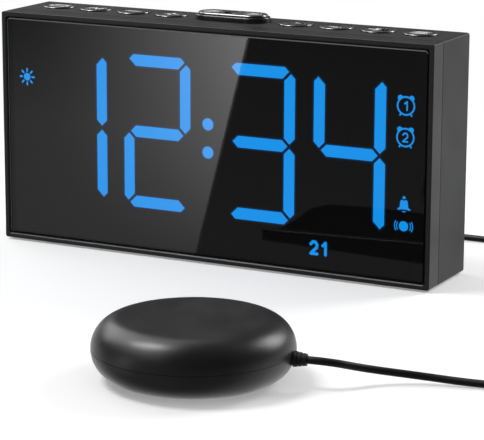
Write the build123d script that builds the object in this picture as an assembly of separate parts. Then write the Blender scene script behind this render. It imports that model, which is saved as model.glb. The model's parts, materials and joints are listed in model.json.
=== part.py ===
from build123d import *
import math
import os

# A bed shaker alarm clock: a wide clock with big lit digits behind a smoked
# lens, eight round keys and a snooze bar on its top, and a round vibrating
# shaker on a thin cord that plugs into the clock's back.
# Lengths are in millimetres and angles in degrees. Each part of the clock is
# drawn with X = 0 at the middle of the case, Y = 0 at its front face and
# Z = 0 at the table. Each part of the shaker is drawn round its own axis.

# Case
case_width = 181.1
case_depth = 34.0
case_height = 89.7
case_wall = 2.2
case_corner = 0.9
case_edge = 0.35
back_edge = 0.7
front_depth = 8.5
seam = 0.35
foot_height = 0.8
foot_width = 7.0
foot_depth = 5.0
foot_sink = 0.6
foot_inset_x = 20.0
foot_inset_y = 5.4
foot_corner = 1.2

# Rim, lens and the ledge that the lens is stuck to
rim_width = 1.9
rim_bevel = 0.35
lens_recess = 0.5
lens_gap = 0.4
lens_thickness = 1.4
lens_bevel = 0.45
lens_corner = 1.0
ledge_width = 1.2
ledge_thickness = 1.5

# Fits between the pieces of the case
slip_fit = 0.3
film_gap = 0.1
tongue_thickness = 0.9
tongue_clearance = 0.1
tongue_reach = 2.0
tongue_root = 4.0

# Display, its digits set out as shares of the lens's window
digit_pitch_share = 0.205
digit_inner_share = 0.123
column_pitch_share = 0.137
row_pitch_share = 0.318
display_x = -0.85
display_rise = 2.55
bar_width = 4.4
bar_gap = 1.1
bar_tip_shift = 0.5
colon_radius = 2.3
colon_pitch = 10.75
fill_depth = 2.0
box_depth = 8.0
board_thickness = 1.6
led_width = 2.0
led_height = 1.2
led_depth = 0.9
leds_per_bar = 4

# Signs beside the digits, each placed from the nearest edges of the window
sun_inset = 8.2
sun_drop = 23.3
sun_radius = 1.5
sun_ray_start = 2.2
sun_ray_end = 3.1
sun_ray_width = 0.7
sun_rays = 8
date_inset = 43.3
date_rise = 8.5
date_height = 5.6
date_stroke = 1.15
date_gap = 1.2
date_shown = "21"
icon_inset = 9.3
alarm_drops = [21.2, 32.7]
alarm_radius = 3.55
alarm_stroke = 0.6
alarm_ear_radius = 1.05
alarm_ear_turn = 38.0
alarm_foot_length = 0.8
alarm_foot_turn = 33.0
numeral_height = 3.6
numeral_stroke = 0.55
bell_rise = 26.6
bell_width = 5.1
bell_height = 3.7
bell_shares = [(1, 0), (1, 0.09), (0.68, 0.24), (0.56, 0.85), (0.42, 1)]
bell_crown_radius = 0.6
bell_gap = 0.2
clapper_radius = 0.9
clapper_drop = 0.65
buzz_rise = 20.6
buzz_radius = 1.85
buzz_rings = [2.75, 3.55]
buzz_stroke = 0.35
buzz_spread = 62.0

# Keys on the top, whose row is set out as shares of the case's width and whose
# radius is a share of their pitch
key_row_x = -0.62
key_row_y = 21.6
key_first_share = 0.146
key_pitch_share = 0.0928
keys_per_side = 4
key_radius_share = 0.378
key_proud = 0.5
key_edge = 0.35
key_fit = 0.22
key_play = 0.3
key_travel = 0.4
key_flange = 1.1
key_flange_thickness = 1.0
key_stem_radius = 1.6
key_stem_length = 1.6
snooze_width_share = 0.167
snooze_depth = 13.0
snooze_end_share = 0.98
snooze_skirt = 2.0
snooze_proud = 2.8
snooze_step = 1.0
snooze_edge = 0.6

# Tact switches and their board
switch_side = 6.0
switch_body = 3.5
plunger_radius = 1.7
plunger_fit = 0.1
plunger_rise = 1.5
plunger_sink = 0.5
plunger_well = 1.2
key_board_thickness = 1.2
key_board_side_gap = 1.1
key_board_front = 14.0
key_board_back = 31.0
key_board_boss_radius = 2.2
key_board_boss_offset = 7.0
key_board_boss_pitches = 1.5

# Screws
case_screw_shank = 1.2
case_screw_length = 9.0
case_screw_head = 2.2
case_screw_head_height = 1.8
case_screw_play = 0.15
screw_floor = 2.5
corner_boss_half = 3.1
corner_boss_inset_z = 4.9
screw_well = 2.5
board_screw_shank = 0.9
board_screw_length = 5.0
board_screw_head = 1.8
board_screw_head_height = 1.3
screw_slot_length_share = 1.4
screw_slot_width = 0.5
screw_slot_depth = 0.6
screw_head_round_share = 0.33

# Main board and the sockets in the back, placed along the board as shares of it
main_board_left_gap = 4.5
main_board_right_gap = 14.35
main_board_front = 14.0
main_board_back = 31.2
main_post_height = 7.0
main_post_radius = 2.4
main_post_inset = 4.0
socket_fit = 0.2
socket_recess = 0.4
socket_body_depth = 11.5
dc_share = 0.865
dc_side = 9.0
dc_nose = 4.0
dc_bore = 2.85
dc_pin = 1.0
dc_bore_depth = 9.0
usb_share = 0.548
usb_width = 13.2
usb_height = 5.7
usb_wall = 0.35
usb_tongue_width = 11.0
usb_tongue_thickness = 1.8
usb_tongue_drop = 0.7
usb_tongue_setback = 1.2
jack_share = 0.154
jack_width = 8.0
jack_height = 6.4
jack_nose = 3.0
jack_fit = 0.05
chip_shares = [(0.05, 0.5), (0.285, 0.28), (0.4, 0.62)]
chip_sizes = [(4.0, 4.0, 1.2), (7.0, 6.0, 1.8), (6.0, 4.0, 3.0)]
capacitor_shares = [(0.72, 0.28), (0.83, 0.28)]
capacitor_radius = 2.6
capacitor_height = 7.5

# Flat cables between the boards
cable_thickness = 0.3
display_cable_share = 0.45
display_cable_width = 12.0
display_cable_z = 30.0
display_cable_y = 17.0
key_cable_share = 0.317
key_cable_width = 9.0
key_cable_y = 25.5
key_cable_drop = 10.5
key_cable_shift = 3.5

# Speaker
speaker_side_gap = 34.35
speaker_rise = 4.9
speaker_radius = 18.0
speaker_lip = 2.0
speaker_rim_depth = 1.6
speaker_basket_depth = 5.0
speaker_basket_radius = 13.0
speaker_magnet_radius = 9.0
speaker_magnet_depth = 3.4
speaker_collar = 1.2
speaker_collar_depth = 3.0
cone_depth = 2.4
cone_thickness = 0.4
dust_cap_radius = 5.0
grille_radius = 1.0
grille_ring_pitch = 4.3
grille_rings = 3

# Backup cell and its door
cell_x = 45.0
cell_radius = 10.0
cell_thickness = 3.2
cell_play = 0.3
cell_pocket_depth = 4.0
pocket_wall = 1.5
door_width = 28.0
door_height = 35.0
door_thickness = 1.6
door_fit = 0.2
door_corner = 2.0
door_tab_width = 4.0
door_tab_reach = 1.0
door_tab_thickness = 0.7
door_tab_spacing = 14.0
door_screw_inset = 3.6
contact_width = 4.0
contact_thickness = 0.3
contact_bend = 0.35
contact_reach_share = 0.7

# Shaker
shaker_x = 65.48
shaker_y = -131.3
shaker_radius = 32.5
shaker_height = 20.0
shaker_flat = 23.0
shaker_waist = 10.2
shaker_base_flat = 22.5
shaker_lift = 0.4
shaker_shell = 2.0
shaker_seam = 0.12
shaker_tongue = 0.8
shaker_tongue_rise = 1.4
shaker_tongue_drop = 2.0
pad_radius = 19.5
pad_thickness = 1.2
pad_fit = 0.1
shaker_screw_x = 9.0
shaker_screw_y = 14.0
shaker_boss_radius = 3.2
shaker_boss_meet = 8.2
shaker_screw_seat = 2.0

# Motor and its off-centre weight
motor_radius = 6.0
motor_axis = 10.3
motor_start = -14.0
motor_length = 20.0
motor_nose_radius = 2.5
motor_nose_length = 1.2
motor_tail_radius = 2.0
motor_tail_length = 1.0
shaft_radius = 1.0
shaft_running_fit = 0.03
shaft_inside = 15.0
shaft_length = 27.0
weight_radius = 6.5
weight_start = 9.0
weight_length = 7.0
weight_hub = 2.4
cradle_start = -11.0
cradle_length = 14.0
cradle_half_width = 11.4
cradle_height = 8.0
cradle_fit = 0.05
clamp_thickness = 1.0
clamp_width = 6.0
clamp_middle = -4.0
clamp_foot = 4.2

# Strain relief, cord, coil, tie and plug
relief_angle = 11.0
relief_drop = 1.1
relief_flange_radius = 3.4
relief_flange_length = 1.5
relief_flange_inset = 5.5
relief_neck = 2.2
relief_root = 2.6
relief_tip = 1.9
relief_length = 4.4
relief_fit = 0.1
relief_grooves = 2
relief_groove_width = 0.5
relief_groove_depth = 0.35
cord_diameter = 2.5
coil_x = 20.0
coil_outer_turn = 19.9
coil_pitch = 3.1
coil_half_turns_per_layer = 7
coil_layers = 4
climb_share = 0.5
cord_line_y = 83.4
tie_width = 4.0
tie_thickness = 0.8
tie_clearance = 0.4
tie_corner = 1.6
tie_tail = 7.0
plug_gap = 0.2
plug_radius = 3.8
plug_length = 15.0
plug_edge = 0.8
plug_tail_radius = 2.6
plug_tail_tip = 1.75
plug_tail_length = 8.0
plug_pin_radius = 1.75
plug_pin_length = 14.0
plug_grips = 4
plug_grip_width = 0.7
plug_grip_pitch = 1.8
plug_grip_depth = 0.35

# The cord's way over the table from the shaker round to the coil behind the
# clock, chosen by hand in the frame of the whole
run_points = [
    (112.65, -47.6, 5.2),
    (127.15, -38.1, 2.4),
    (144.15, -34.3, 1.25),
    (168.15, -29.1, 1.25),
    (185.15, -7.1, 1.25),
    (183.15, 28.9, 1.25),
    (169.15, 70.9, 1.25),
    (148.15, 112.9, 1.25),
    (120.15, 140.9, 1.25),
    (90.15, 148.9, 1.25),
    (66.15, 147.9, 1.25),
    (44.0, 148.6, 1.35),
    (34.0, 148.3, 1.9),
]
lead_bend = 14.0
relief_run = 7.0
arc_share = 0.45
end_arc_share = 0.9

# How far a cut or an added piece runs past the faces that it has to reach
overrun = 1.0

# Places worked out from the sizes above
case_bottom = foot_height
case_top = foot_height + case_height
case_middle = foot_height + case_height / 2
inner_half_x = case_width / 2 - case_wall
inner_half_z = case_height / 2 - case_wall
inner_floor = case_bottom + case_wall
inner_ceiling = case_top - case_wall
inner_back = case_depth - case_wall
window_width = case_width - 2 * rim_width
window_height = case_height - 2 * rim_width
lens_back = lens_recess + lens_thickness
ledge_back = lens_back + ledge_thickness
box_front = lens_back + film_gap
box_back = box_front + box_depth
display_board_back = box_back + board_thickness
box_width = window_width - 2 * ledge_width - 2 * slip_fit
box_height = window_height - 2 * ledge_width - 2 * slip_fit
boss_x = inner_half_x - corner_boss_half
boss_z = inner_half_z - corner_boss_inset_z
rear_start = front_depth + seam
display_z = case_middle + display_rise
window_left = -window_width / 2
window_right = window_width / 2
window_bottom = case_bottom + rim_width
window_top = case_top - rim_width
digit_pitch = digit_pitch_share * window_width
digit_inner_x = digit_inner_share * window_width
column_pitch = column_pitch_share * window_width
row_pitch = row_pitch_share * window_height
sun_x = window_left + sun_inset
sun_z = window_top - sun_drop
date_x = window_right - date_inset
date_z = window_bottom + date_rise
icon_x = window_right - icon_inset
alarm_z = [window_top - drop for drop in alarm_drops]
bell_z = window_bottom + bell_rise
buzz_z = window_bottom + buzz_rise

key_first = key_first_share * case_width
key_pitch = key_pitch_share * case_width
key_radius = key_radius_share * key_pitch
snooze_width = snooze_width_share * case_width
flange_top = inner_ceiling - key_play
flange_bottom = flange_top - key_flange_thickness
plunger_top = flange_bottom - key_stem_length
switch_top = plunger_top - plunger_rise
key_board_top = switch_top - switch_body
key_board_bottom = key_board_top - key_board_thickness
key_board_half = boss_x - corner_boss_half - abs(key_row_x) - key_board_side_gap

main_board_bottom = inner_floor + main_post_height
main_board_top = main_board_bottom + board_thickness
speaker_x = speaker_side_gap - inner_half_x
speaker_z = (inner_floor + key_board_bottom) / 2 + speaker_rise
speaker_room = speaker_radius + slip_fit
main_board_left = speaker_x + speaker_room + speaker_collar + main_board_left_gap
main_board_right = inner_half_x - main_board_right_gap
main_board_length = main_board_right - main_board_left
main_board_width = main_board_back - main_board_front
dc_x = main_board_left + dc_share * main_board_length
usb_x = main_board_left + usb_share * main_board_length
jack_x = main_board_left + jack_share * main_board_length
cell_z = (main_board_top + dc_side + key_board_bottom) / 2
jack_z = main_board_top + jack_height / 2
socket_front = case_depth - socket_recess - socket_body_depth
plug_start = case_depth + plug_gap
plug_tail_start = plug_start + plug_length
plug_end = plug_tail_start + plug_tail_length

pad_top = pad_thickness
shaker_floor = shaker_lift + shaker_shell
shaker_ceiling = shaker_height - shaker_shell
shaker_screw_head = pad_top + shaker_screw_seat
relief_z = shaker_waist - relief_drop
relief_flange_from_axis = shaker_radius - relief_flange_inset
relief_end = shaker_radius + relief_length

origin_x = (shaker_x + shaker_radius - case_width / 2) / 2
origin_y = (case_depth + shaker_y - shaker_radius) / 2
clock_place = Pos(-origin_x, -origin_y, 0)
shaker_place = Pos(shaker_x - origin_x, shaker_y - origin_y, 0)
at_row = Pos(0, 0, 0)

corners = [(-1, -1), (1, -1), (-1, 1), (1, 1)]
key_offsets = [key_first + step * key_pitch for step in range(keys_per_side)]
key_places = [key_row_x - offset for offset in reversed(key_offsets)]
key_places += [key_row_x + offset for offset in key_offsets]


def plate(sketch, start, end):
    """A solid whose outline is drawn in X and Z, from Y start to Y end."""
    return extrude(Plane.XZ.offset(-start) * sketch, amount=start - end)


def panel(width, height, radius, start, end, x=0.0, z=case_middle):
    """A plate with rounded corners."""
    return plate(Pos(x, z) * RectangleRounded(width, height, radius), start, end)


def block(low, high):
    """A box from its lowest corner to its highest one."""
    size = [top - bottom for bottom, top in zip(low, high)]
    middle = [(top + bottom) / 2 for bottom, top in zip(low, high)]
    return Pos(*middle) * Box(*size)


def post(radius, bottom, top, x=0.0, y=0.0):
    """A round bar along Z."""
    return Pos(x, y, (bottom + top) / 2) * Cylinder(radius, top - bottom)


def bar(radius, start, end, x=0.0, z=0.0):
    """A round bar along Y."""
    return plate(Pos(x, z) * Circle(radius), start, end)


def axle(radius, start, end, z=0.0, y=0.0):
    """A round bar along X."""
    return Pos((start + end) / 2, y, z) * Rot(Y=90) * Cylinder(radius, end - start)


def joined(shapes):
    """All the shapes as one."""
    shapes = list(shapes)
    return shapes[0].fuse(*shapes[1:]) if len(shapes) > 1 else shapes[0]


def save(node, shapes, place):
    """Write a piece, or a group of alike pieces, under its name."""
    solids = [solid for shape in shapes for solid in (place * shape).solids()]
    export_step(Compound(solids), f"parts/{node}.step")


def screw(shank, length, head, head_height):
    """A pan head screw along Z, its head's seat at Z = 0 and its shank up."""
    body = post(head, -head_height, 0) + post(shank, 0, length)
    body = fillet(body.faces().sort_by(Axis.Z)[0].edges(), screw_head_round_share * head_height)
    slot_box = Box(screw_slot_length_share * head, screw_slot_width, 2 * screw_slot_depth)
    slots = [Rot(Z=turn) * Pos(0, 0, -head_height) * slot_box for turn in (0, 90)]
    return body - slots


# Display outlines, drawn in X and Z


def bar_outline(length, width, start_shift, end_shift):
    """A display bar along X with pointed ends.

    A shift moves that end's point up from the bar's middle line.
    """
    half = width / 2
    left = -length / 2
    right = length / 2
    points = [
        (left, start_shift),
        (left + half - start_shift, half),
        (right - half + end_shift, half),
        (right, end_shift),
        (right - half - end_shift, -half),
        (left + half + start_shift, -half),
    ]
    return make_face(Polyline(*points, close=True))


def digit_bars(centre_x):
    """The seven bars of a digit by their usual letters, a to g."""
    half_column = column_pitch / 2
    point_gap = bar_gap / math.sqrt(2)
    corner_end = point_gap - bar_tip_shift
    across = column_pitch - 2 * corner_end
    middle_across = column_pitch - 2 * point_gap
    upright = row_pitch - corner_end - point_gap
    lean = (point_gap - corner_end) / 2
    flat = bar_outline(across, bar_width, bar_tip_shift, bar_tip_shift)
    middle = bar_outline(middle_across, bar_width, 0, 0)
    outline = bar_outline(upright, bar_width, 0, bar_tip_shift)
    mirrored = bar_outline(upright, bar_width, bar_tip_shift, 0)
    right = centre_x + half_column
    left = centre_x - half_column
    upper = display_z + row_pitch / 2 + lean
    lower = display_z - row_pitch / 2 - lean
    return {
        "a": Pos(centre_x, display_z + row_pitch) * flat,
        "b": Pos(right, upper) * Rot(Z=-90) * mirrored,
        "c": Pos(right, lower) * Rot(Z=-90) * outline,
        "d": Pos(centre_x, display_z - row_pitch) * Rot(Z=180) * flat,
        "e": Pos(left, lower) * Rot(Z=90) * mirrored,
        "f": Pos(left, upper) * Rot(Z=90) * outline,
        "g": Pos(centre_x, display_z) * middle,
    }


def stroke(start, end, width):
    """A round-ended line of a numeral or sign."""
    run = (end[0] - start[0], end[1] - start[1])
    length = math.hypot(*run)
    turn = math.degrees(math.atan2(run[1], run[0]))
    middle = ((start[0] + end[0]) / 2, (start[1] + end[1]) / 2)
    return Pos(*middle) * Rot(Z=turn) * SlotCenterToCenter(length, width)


def lines(points_share, width, height, pen):
    """A numeral's strokes, from points given as shares of its box."""
    inner_width = width - pen
    inner_height = height - pen
    points = [(pen / 2 + u * inner_width, pen / 2 + v * inner_height) for u, v in points_share]
    return [stroke(a, b, pen) for a, b in zip(points, points[1:])]


numeral_shares = {
    "1": (0.4, [(0, 0.75), (1, 1), (1, 0)]),
    "2": (0.66, [(0, 0.8), (0.3, 1), (0.75, 1), (1, 0.78), (0.95, 0.55), (0, 0), (1, 0)]),
}


def numeral(sign, height, pen):
    """One numeral with its lower left corner at zero, and its width."""
    width_share, path = numeral_shares[sign]
    width = width_share * height
    return joined(lines(path, width, height, pen)), width


def date_sign():
    """The day of the month in plain numerals."""
    numerals = [numeral(sign, date_height, date_stroke) for sign in date_shown]
    total = sum(width for _, width in numerals) + date_gap * (len(numerals) - 1)
    start = date_x - total / 2
    placed = []
    for outline, width in numerals:
        placed.append(Pos(start, date_z - date_height / 2) * outline)
        start += width + date_gap
    return placed


def sun_sign():
    """A small sun for the morning half of the day."""
    signs = [Circle(sun_radius)]
    for step in range(sun_rays):
        ray = stroke((sun_ray_start, 0), (sun_ray_end, 0), sun_ray_width)
        signs.append(Rot(Z=360 * step / sun_rays) * ray)
    return [Pos(sun_x, sun_z) * sign for sign in signs]


def alarm_sign(z, number):
    """A small alarm clock with a numeral on its dial."""
    ring = Circle(alarm_radius) - Circle(alarm_radius - alarm_stroke)
    reach = alarm_radius
    ears = [
        Rot(Z=90 + side * alarm_ear_turn) * Pos(reach, 0) * Circle(alarm_ear_radius)
        - Circle(alarm_radius - alarm_stroke)
        for side in (-1, 1)
    ]
    feet = [
        Rot(Z=-90 + side * alarm_foot_turn) * Pos(alarm_radius, 0) * Rectangle(
            2 * alarm_foot_length, alarm_stroke
        )
        - Circle(alarm_radius - alarm_stroke)
        for side in (-1, 1)
    ]
    dial = joined([ring] + ears + feet)
    outline, width = numeral(number, numeral_height, numeral_stroke)
    sign = Pos(-width / 2, -numeral_height / 2) * outline
    return [Pos(icon_x, z) * dial, Pos(icon_x, z) * sign]


def bell_sign():
    """A bell with its crown above it and its clapper below."""
    half = [(u * bell_width / 2, v * bell_height) for u, v in bell_shares]
    body = make_face(Polyline(*half, *[(-x, z) for x, z in reversed(half)], close=True))
    crown = Pos(0, bell_height + bell_gap + bell_crown_radius) * Circle(bell_crown_radius)
    below = Pos(0, -clapper_radius) * Rectangle(2 * clapper_radius, 2 * clapper_radius)
    clapper = Pos(0, -bell_gap) * (Pos(0, clapper_radius - clapper_drop) * Circle(clapper_radius) & below)
    return [Pos(icon_x, bell_z) * sign for sign in (body, crown, clapper)]


def buzz_sign():
    """A disc between two pairs of brackets, for the shaker."""
    signs = [Circle(buzz_radius)]
    for radius in buzz_rings:
        ring = Circle(radius + buzz_stroke / 2) - Circle(radius - buzz_stroke / 2)
        for side in (0, 180):
            reach = radius + buzz_stroke
            edge = reach * math.tan(math.radians(buzz_spread / 2))
            wedge = make_face(Polyline((0, 0), (reach, edge), (reach, -edge), close=True))
            signs.append(ring & (Rot(Z=side) * wedge))
    return [Pos(icon_x, buzz_z) * sign for sign in signs]


digit_centres = [
    display_x - digit_inner_x - digit_pitch,
    display_x - digit_inner_x,
    display_x + digit_inner_x,
    display_x + digit_inner_x + digit_pitch,
]
digit_fitted = ["bc", "abcdefg", "abcdefg", "abcdefg"]
digit_lit = ["bc", "abged", "abgcd", "fgbc"]
colon_outlines = [
    Pos(display_x, display_z + side * colon_pitch / 2) * Circle(colon_radius) for side in (1, -1)
]
sign_outlines = sun_sign() + date_sign()
for sign_z, sign_number in zip(alarm_z, "12"):
    sign_outlines += alarm_sign(sign_z, sign_number)
sign_outlines += bell_sign() + buzz_sign()


def fill(outline):
    """The milky filling at the front of a slot of the light box."""
    return plate(outline, box_front, box_front + fill_depth)


def slot(outline):
    """A slot through the light box."""
    return plate(outline, box_front - overrun, box_back + overrun)


def light_way(x, z):
    """The way from a lamp to a sign, which keeps the sign's middles joined to the box."""
    half_width = led_width / 2 + slip_fit
    half_height = led_height / 2 + slip_fit
    return block(
        (x - half_width, box_front + fill_depth, z - half_height),
        (x + half_width, box_back + overrun, z + half_height),
    )


# Display pieces


def make_display():
    unlit = []
    slots = [slot(outline) for outline in colon_outlines]
    slots += [plate(outline, box_front - overrun, box_front + fill_depth) for outline in sign_outlines]
    led_places = [(sun_x, sun_z), (date_x, date_z)]
    led_places += [(icon_x, z) for z in alarm_z + [bell_z + bell_height / 2, buzz_z]]
    slots += [light_way(x, z) for x, z in led_places]
    led_places += [(display_x, display_z + side * colon_pitch / 2) for side in (1, -1)]
    for number, centre in enumerate(digit_centres, start=1):
        bars = digit_bars(centre)
        lit = []
        for name in digit_fitted[number - 1]:
            slots.append(slot(bars[name]))
            target = lit if name in digit_lit[number - 1] else unlit
            target.append(fill(bars[name]))
            box = bars[name].bounding_box()
            middle = box.center()
            wide = box.size.X > box.size.Y
            length = max(box.size.X, box.size.Y)
            for step in range(leds_per_bar):
                offset = length * ((step + 0.5) / leds_per_bar - 0.5)
                shift = (offset, 0) if wide else (0, offset)
                led_places.append((middle.X + shift[0], middle.Y + shift[1]))
        save(f"digit_{number}", lit, clock_place)
    save("unlit_bars", unlit, clock_place)
    save("colon_dots", [fill(outline) for outline in colon_outlines], clock_place)
    save("status_signs", [fill(outline) for outline in sign_outlines], clock_place)

    notch_x = box_width / 2 - (boss_x - corner_boss_half - slip_fit)
    notch_z = box_height / 2 - (boss_z - corner_boss_half - slip_fit)
    body = panel(box_width, box_height, lens_corner, box_front, box_back)
    notches = [
        block(
            (
                side_x * box_width / 2 - notch_x,
                box_front - overrun,
                case_middle + side_z * box_height / 2 - notch_z,
            ),
            (
                side_x * box_width / 2 + notch_x,
                box_back + overrun,
                case_middle + side_z * box_height / 2 + notch_z,
            ),
        )
        for side_x, side_z in corners
    ]
    save("light_box", [body - notches - slots], clock_place)

    board = panel(box_width, box_height, lens_corner, box_back, display_board_back)
    holes = [
        bar(case_screw_shank + case_screw_play, 0, case_depth, side_x * boss_x, case_middle + side_z * boss_z)
        for side_x, side_z in corners
    ]
    save("display_board", [board - holes], clock_place)
    leds = [
        block(
            (x - led_width / 2, box_back - led_depth, z - led_height / 2),
            (x + led_width / 2, box_back, z + led_height / 2),
        )
        for x, z in led_places
    ]
    save("display_leds", leds, clock_place)


def make_lens():
    body = panel(
        window_width - 2 * lens_gap, window_height - 2 * lens_gap, lens_corner, lens_recess, lens_back
    )
    body = chamfer(body.faces().sort_by(Axis.Y)[0].edges(), lens_bevel)
    save("lens", [body], clock_place)


# Case


def corner_block(side_x, side_z, start, end, into_wall):
    """A square boss that stands in a corner of the case."""
    near_x = boss_x - corner_boss_half
    near_z = boss_z - corner_boss_half
    far_x = inner_half_x + into_wall
    far_z = inner_half_z + into_wall
    low_x, high_x = sorted((side_x * near_x, side_x * far_x))
    low_z, high_z = sorted((side_z * near_z, side_z * far_z))
    return block((low_x, start, case_middle + low_z), (high_x, end, case_middle + high_z))


def foot_places():
    x = case_width / 2 - foot_inset_x
    return [(side * x, y) for side in (-1, 1) for y in (foot_inset_y, case_depth - foot_inset_y)]


def foot_solid(x, y):
    top = foot_height + foot_sink
    body = Pos(x, y, top / 2) * Box(foot_width, foot_depth, top)
    return fillet(body.edges().filter_by(Axis.Z), foot_corner)


def make_front_frame():
    body = panel(case_width, case_height, case_corner, 0, front_depth)
    body = fillet(body.faces().sort_by(Axis.Y)[0].edges(), case_edge)
    body -= panel(window_width, window_height, lens_corner, -overrun, lens_back)
    ledge_gap_width = window_width - 2 * ledge_width
    ledge_gap_height = window_height - 2 * ledge_width
    body -= panel(ledge_gap_width, ledge_gap_height, lens_corner, 0, front_depth)
    body -= panel(
        2 * inner_half_x, 2 * inner_half_z, lens_corner, ledge_back, front_depth + overrun
    )
    front = body.faces().sort_by(Axis.Y)[0]
    body = chamfer(front.inner_wires()[0].edges(), rim_bevel)
    for side_x, side_z in corners:
        body += corner_block(side_x, side_z, lens_back + ledge_thickness / 2, front_depth, case_wall / 2)
        body += corner_block(side_x, side_z, front_depth / 2, box_back, -slip_fit - tongue_clearance)
    for side_x, side_z in corners:
        pilot_start = display_board_back + screw_floor - case_screw_length
        body -= bar(
            case_screw_shank, pilot_start, box_back + overrun, side_x * boss_x, case_middle + side_z * boss_z
        )
    for x, y in foot_places():
        if y < case_depth / 2:
            body -= foot_solid(x, y)
    save("front_frame", [body], clock_place)


def tongues():
    """Four straight lips that slip into the front frame."""
    reach_x = boss_x - corner_boss_half - slip_fit
    reach_z = boss_z - corner_boss_half - slip_fit
    outer = tongue_clearance
    inner = tongue_clearance + tongue_thickness
    start = front_depth - tongue_reach
    shapes = []
    for side in (-1, 1):
        for near, far, begin in ((outer, inner, start), (-case_wall / 2, inner, rear_start)):
            low, high = sorted((side * (inner_half_z - near), side * (inner_half_z - far)))
            shapes.append(
                block(
                    (-reach_x, begin, case_middle + low),
                    (reach_x, rear_start + tongue_root, case_middle + high),
                )
            )
            low, high = sorted((side * (inner_half_x - near), side * (inner_half_x - far)))
            shapes.append(
                block(
                    (low, begin, case_middle - reach_z),
                    (high, rear_start + tongue_root, case_middle + reach_z),
                )
            )
    return shapes


def key_board_boss_places():
    reach = key_first + key_board_boss_pitches * key_pitch
    return [
        (key_row_x + side_x * reach, key_row_y + side_y * key_board_boss_offset) for side_x, side_y in corners
    ]


def main_post_places():
    xs = (main_board_left + main_post_inset, main_board_right - main_post_inset)
    ys = (main_board_front + main_post_inset, main_board_back - main_post_inset)
    return [(x, y) for x in xs for y in ys]


def grille_places():
    places = [(speaker_x, speaker_z)]
    for ring in range(1, grille_rings + 1):
        for step in range(6 * ring):
            turn = 2 * math.pi * step / (6 * ring)
            reach = ring * grille_ring_pitch
            places.append((speaker_x + reach * math.cos(turn), speaker_z + reach * math.sin(turn)))
    return places


def snooze_outline(grow):
    width = snooze_width + 2 * grow
    depth = snooze_depth + 2 * grow
    return RectangleRounded(width, depth, snooze_end_share * depth / 2)


def snooze_block(grow, bottom, top):
    return extrude(Pos(key_row_x, key_row_y, bottom) * snooze_outline(grow), amount=top - bottom)


def door_panel(grow, start, end):
    return panel(
        door_width + 2 * grow, door_height + 2 * grow, door_corner + grow, start, end, cell_x, cell_z
    )


def door_tabs(grow):
    top = cell_z + door_height / 2
    back = case_depth - door_thickness
    return [
        block(
            (x - door_tab_width / 2 - grow, back - grow, top - overrun),
            (x + door_tab_width / 2 + grow, back + door_tab_thickness + grow, top + door_tab_reach + grow),
        )
        for x in (cell_x - door_tab_spacing / 2, cell_x + door_tab_spacing / 2)
    ]


def make_rear_housing():
    body = panel(case_width, case_height, case_corner, rear_start, case_depth)
    body = fillet(body.faces().sort_by(Axis.Y)[-1].edges(), back_edge)
    body -= panel(2 * inner_half_x, 2 * inner_half_z, lens_corner, rear_start - overrun, inner_back)
    added = tongues()
    added += [
        corner_block(side_x, side_z, display_board_back, inner_back + case_wall / 2, case_wall / 2)
        for side_x, side_z in corners
    ]
    added += [
        post(key_board_boss_radius, key_board_top, inner_ceiling + case_wall / 2, x, y)
        for x, y in key_board_boss_places()
    ]
    added += [
        post(main_post_radius, inner_floor - case_wall / 2, main_board_bottom, x, y)
        for x, y in main_post_places()
    ]
    collar_start = inner_back - speaker_collar_depth
    collar = bar(speaker_room + speaker_collar, collar_start, inner_back, speaker_x, speaker_z)
    added.append(collar - bar(speaker_room, 0, inner_back, speaker_x, speaker_z))
    pocket_back = case_depth - door_thickness - cell_pocket_depth
    added.append(
        panel(
            door_width + 2 * door_fit + 2 * pocket_wall,
            door_height + 2 * door_fit + 2 * pocket_wall,
            door_corner,
            pocket_back - pocket_wall,
            inner_back + case_wall / 2,
            cell_x,
            cell_z,
        )
    )
    body = body.fuse(*added)

    cuts = []
    for side_x, side_z in corners:
        x, z = side_x * boss_x, case_middle + side_z * boss_z
        cuts.append(bar(screw_well, display_board_back + screw_floor, case_depth + overrun, x, z))
        cuts.append(bar(case_screw_shank + case_screw_play, display_board_back - overrun, case_depth, x, z))
    cuts += [
        post(key_radius + key_fit, inner_ceiling - overrun, case_top + overrun, x, key_row_y)
        for x in key_places
    ]
    cuts.append(snooze_block(key_fit, inner_ceiling - overrun, case_top + overrun))
    flange_room = flange_bottom - key_travel - slip_fit
    cuts += [
        post(key_radius + key_flange + slip_fit, flange_room, inner_ceiling, x, key_row_y)
        for x in key_places
    ]
    cuts += [
        post(board_screw_shank, key_board_top - overrun, key_board_top + board_screw_length, x, y)
        for x, y in key_board_boss_places()
    ]
    cuts += [
        post(board_screw_shank, main_board_bottom - board_screw_length, main_board_bottom + overrun, x, y)
        for x, y in main_post_places()
    ]
    cuts += [bar(grille_radius, inner_back - overrun, case_depth + overrun, x, z) for x, z in grille_places()]
    cuts.append(door_panel(door_fit, case_depth - door_thickness, case_depth + overrun))
    cuts += door_tabs(door_fit)
    cuts.append(bar(cell_radius + cell_play, pocket_back, case_depth, cell_x, cell_z))
    door_screw_z = cell_z - door_height / 2 + door_screw_inset
    cuts.append(
        bar(
            board_screw_shank,
            case_depth - door_thickness - board_screw_length,
            case_depth,
            cell_x,
            door_screw_z,
        )
    )
    cuts.append(
        bar(
            dc_nose + socket_fit,
            inner_back - overrun,
            case_depth + overrun,
            dc_x,
            main_board_top + dc_side / 2,
        ),
    )
    cuts.append(bar(jack_nose + socket_fit, inner_back - overrun, case_depth + overrun, jack_x, jack_z))
    cuts.append(
        block(
            (usb_x - usb_width / 2 - socket_fit, inner_back - overrun, main_board_top - socket_fit),
            (
                usb_x + usb_width / 2 + socket_fit,
                case_depth + overrun,
                main_board_top + usb_height + socket_fit,
            ),
        )
    )
    for x, y in foot_places():
        if y > case_depth / 2:
            cuts.append(foot_solid(x, y))
    save("rear_housing", [body - cuts], clock_place)


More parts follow.
